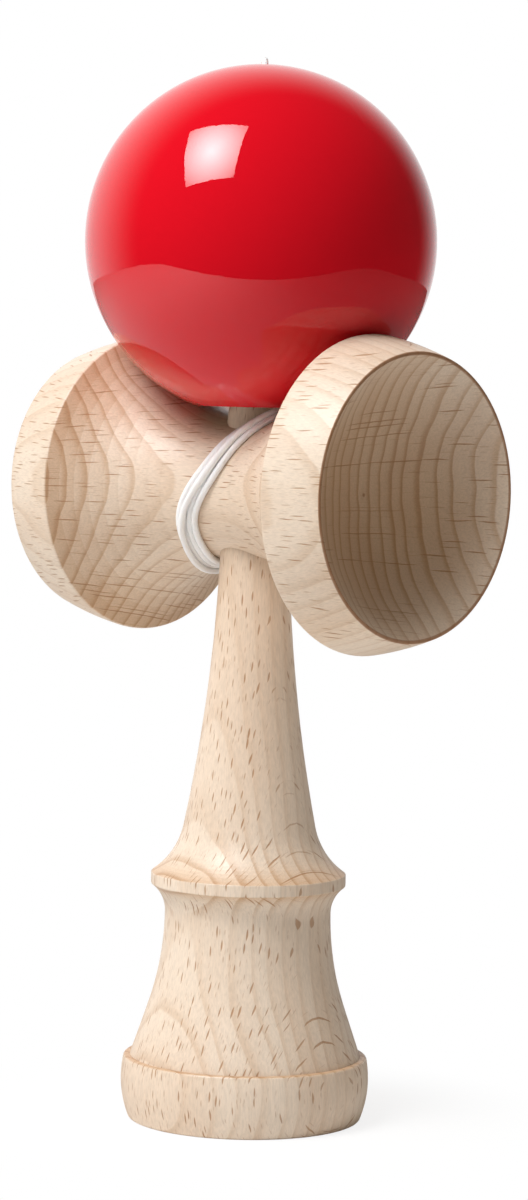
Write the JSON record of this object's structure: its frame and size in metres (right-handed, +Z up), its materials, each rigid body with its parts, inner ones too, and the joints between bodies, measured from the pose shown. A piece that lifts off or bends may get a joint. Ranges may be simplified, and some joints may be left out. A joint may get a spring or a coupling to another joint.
{
  "type": "kendama",
  "caption": "Wooden kendama: a turned stick with base cup and spike, a cross piece with big and small cups, a lacquered ball on the spike and a cord wound round the waist.",
  "frame": {"origin": "centre of the base's rim, on the surface that the kendama stands on", "axes": "+Z up along the stick to the spike, +X along the cross piece towards the big cup, +Y to the back"},
  "size_m": [0.0738, 0.0621, 0.1837],
  "materials": {
    "handle_wood": "bare beech, fine sanded, grain along the stick",
    "cross_wood": "bare beech, fine sanded, grain along the cross piece",
    "red_lacquer": "thick high-gloss lacquer over wood",
    "cord": "braided nylon",
    "bead": "bare turned bead"
  },
  "bodies": {
    "stick": {"ken": "handle_wood", "sarado": "cross_wood", "ken_knot": "cord", "cord_winding": "cord", "cord_slack": "cord"},
    "cord_swivel": {"bead": "bead", "bead_knot": "cord", "cord_over_ball": "cord"},
    "ball": {"tama": "red_lacquer"}
  },
  "joints": [
    {"name": "tama_lift", "type": "slide", "parent": "stick", "child": "cord_swivel", "axis": [0, 0, 1], "range_m": [0, 0.04], "deforming": ["cord_slack"]},
    {"name": "tama_spin", "type": "hinge", "parent": "cord_swivel", "child": "ball", "pos_m": [0, 0, 0.1515], "axis": [0, 0, 1], "continuous": true}
  ]
}
